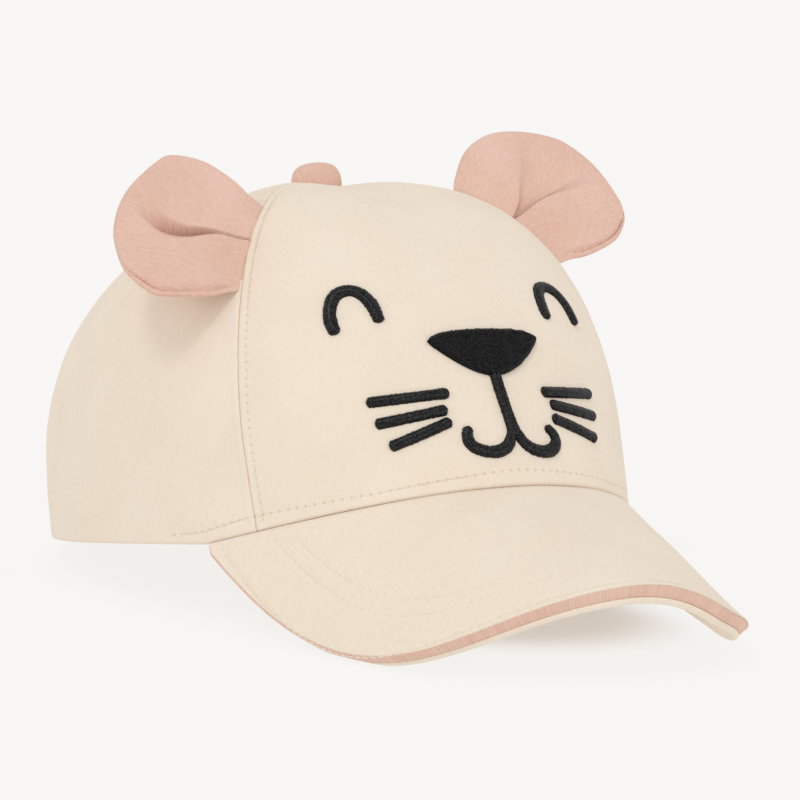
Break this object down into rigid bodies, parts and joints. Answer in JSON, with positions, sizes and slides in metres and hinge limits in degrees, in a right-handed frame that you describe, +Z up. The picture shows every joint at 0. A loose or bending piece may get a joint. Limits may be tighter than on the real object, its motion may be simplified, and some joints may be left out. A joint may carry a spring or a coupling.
{
  "type": "baby animal ear cap",
  "caption": "Soft jersey baby cap with stuffed round ears, a raised embroidered animal face, a covered top button, a curved peak with a contrast edge and a strap across an open arch behind.",
  "frame": {"origin": "middle of the bounding box at the surface that the cap rests on; the crown's middle plane is about 3 mm to +X of it, because one ear reaches further than the other", "axes": "+Z up, the embroidered face and the peak towards -Y, the wearer's right side towards -X"},
  "size_m": [0.1564, 0.2476, 0.1223],
  "materials": {
    "cream_jersey": "fine matt knit",
    "pink_jersey": "fine matt knit",
    "black_thread": "soft satin stitch"
  },
  "bodies": {
    "root": {"front_panel": "cream_jersey", "side_panel_right": "cream_jersey", "side_panel_left": "cream_jersey", "back_panel_right": "cream_jersey", "back_panel_left": "cream_jersey", "back_strap": "cream_jersey", "peak_top": "cream_jersey", "peak_insert": "pink_jersey", "peak_under": "cream_jersey", "button": "pink_jersey", "ear_right": "pink_jersey", "ear_left": "pink_jersey", "eye_right": "black_thread", "eye_left": "black_thread", "nose": "black_thread", "mouth": "black_thread", "whisker_right_1": "black_thread", "whisker_left_1": "black_thread", "whisker_right_2": "black_thread", "whisker_left_2": "black_thread", "whisker_right_3": "black_thread", "whisker_left_3": "black_thread"}
  },
  "joints": []
}
